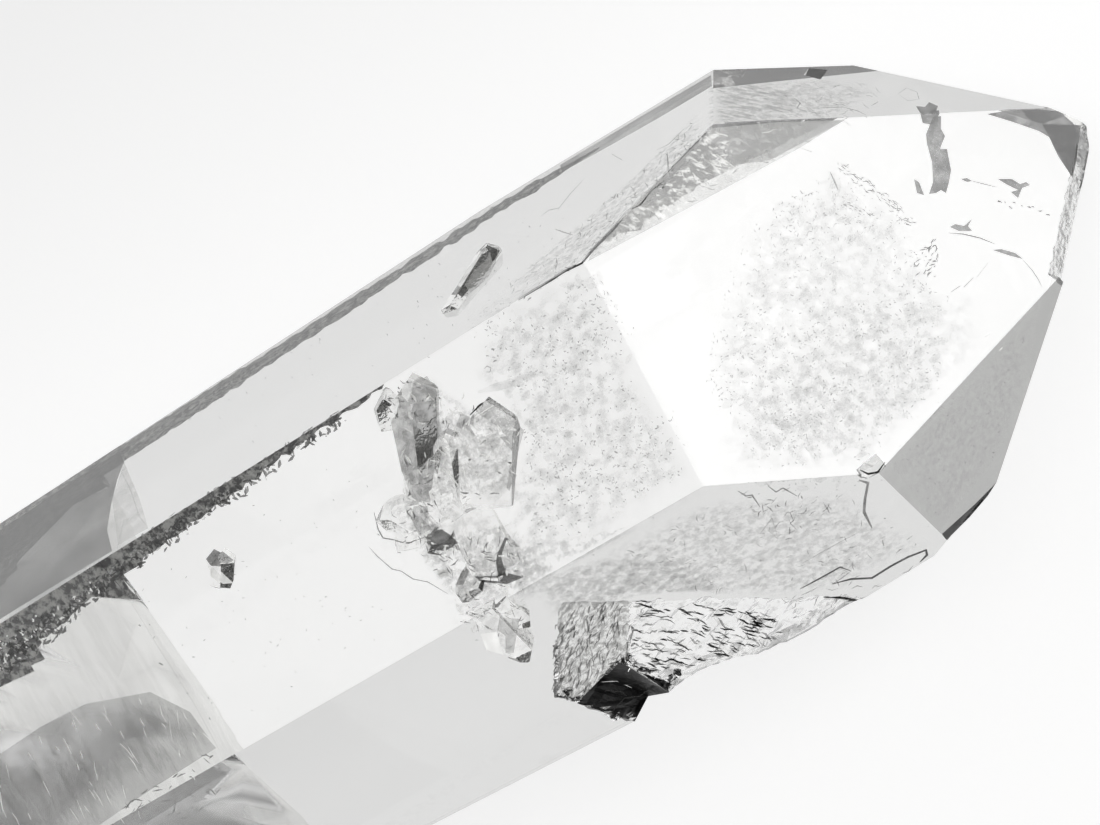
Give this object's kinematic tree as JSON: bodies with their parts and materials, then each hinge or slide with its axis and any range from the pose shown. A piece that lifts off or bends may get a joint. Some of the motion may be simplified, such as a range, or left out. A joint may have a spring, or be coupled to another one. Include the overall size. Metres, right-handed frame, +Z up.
{
  "type": "clear quartz point",
  "caption": "Clear natural quartz point lying on a side, six flat sides and a slanting faceted tip, small crystals grown on, one damaged side and a rough leaning broken base.",
  "frame": {"origin": "centre of the bounding box in plan, at the level of the face the crystal lies on", "axes": "+X along the crystal's long axis towards its tip, +Z up out of the face opposite the one it lies on, +Y towards the upper side faces of the picture"},
  "size_m": [0.1028, 0.0394, 0.0324],
  "materials": {
    "clear_quartz": "clear natural crystal faces, rough where broken or grown against the wall"
  },
  "bodies": {
    "root": {"quartz_point": "clear_quartz"}
  },
  "joints": []
}
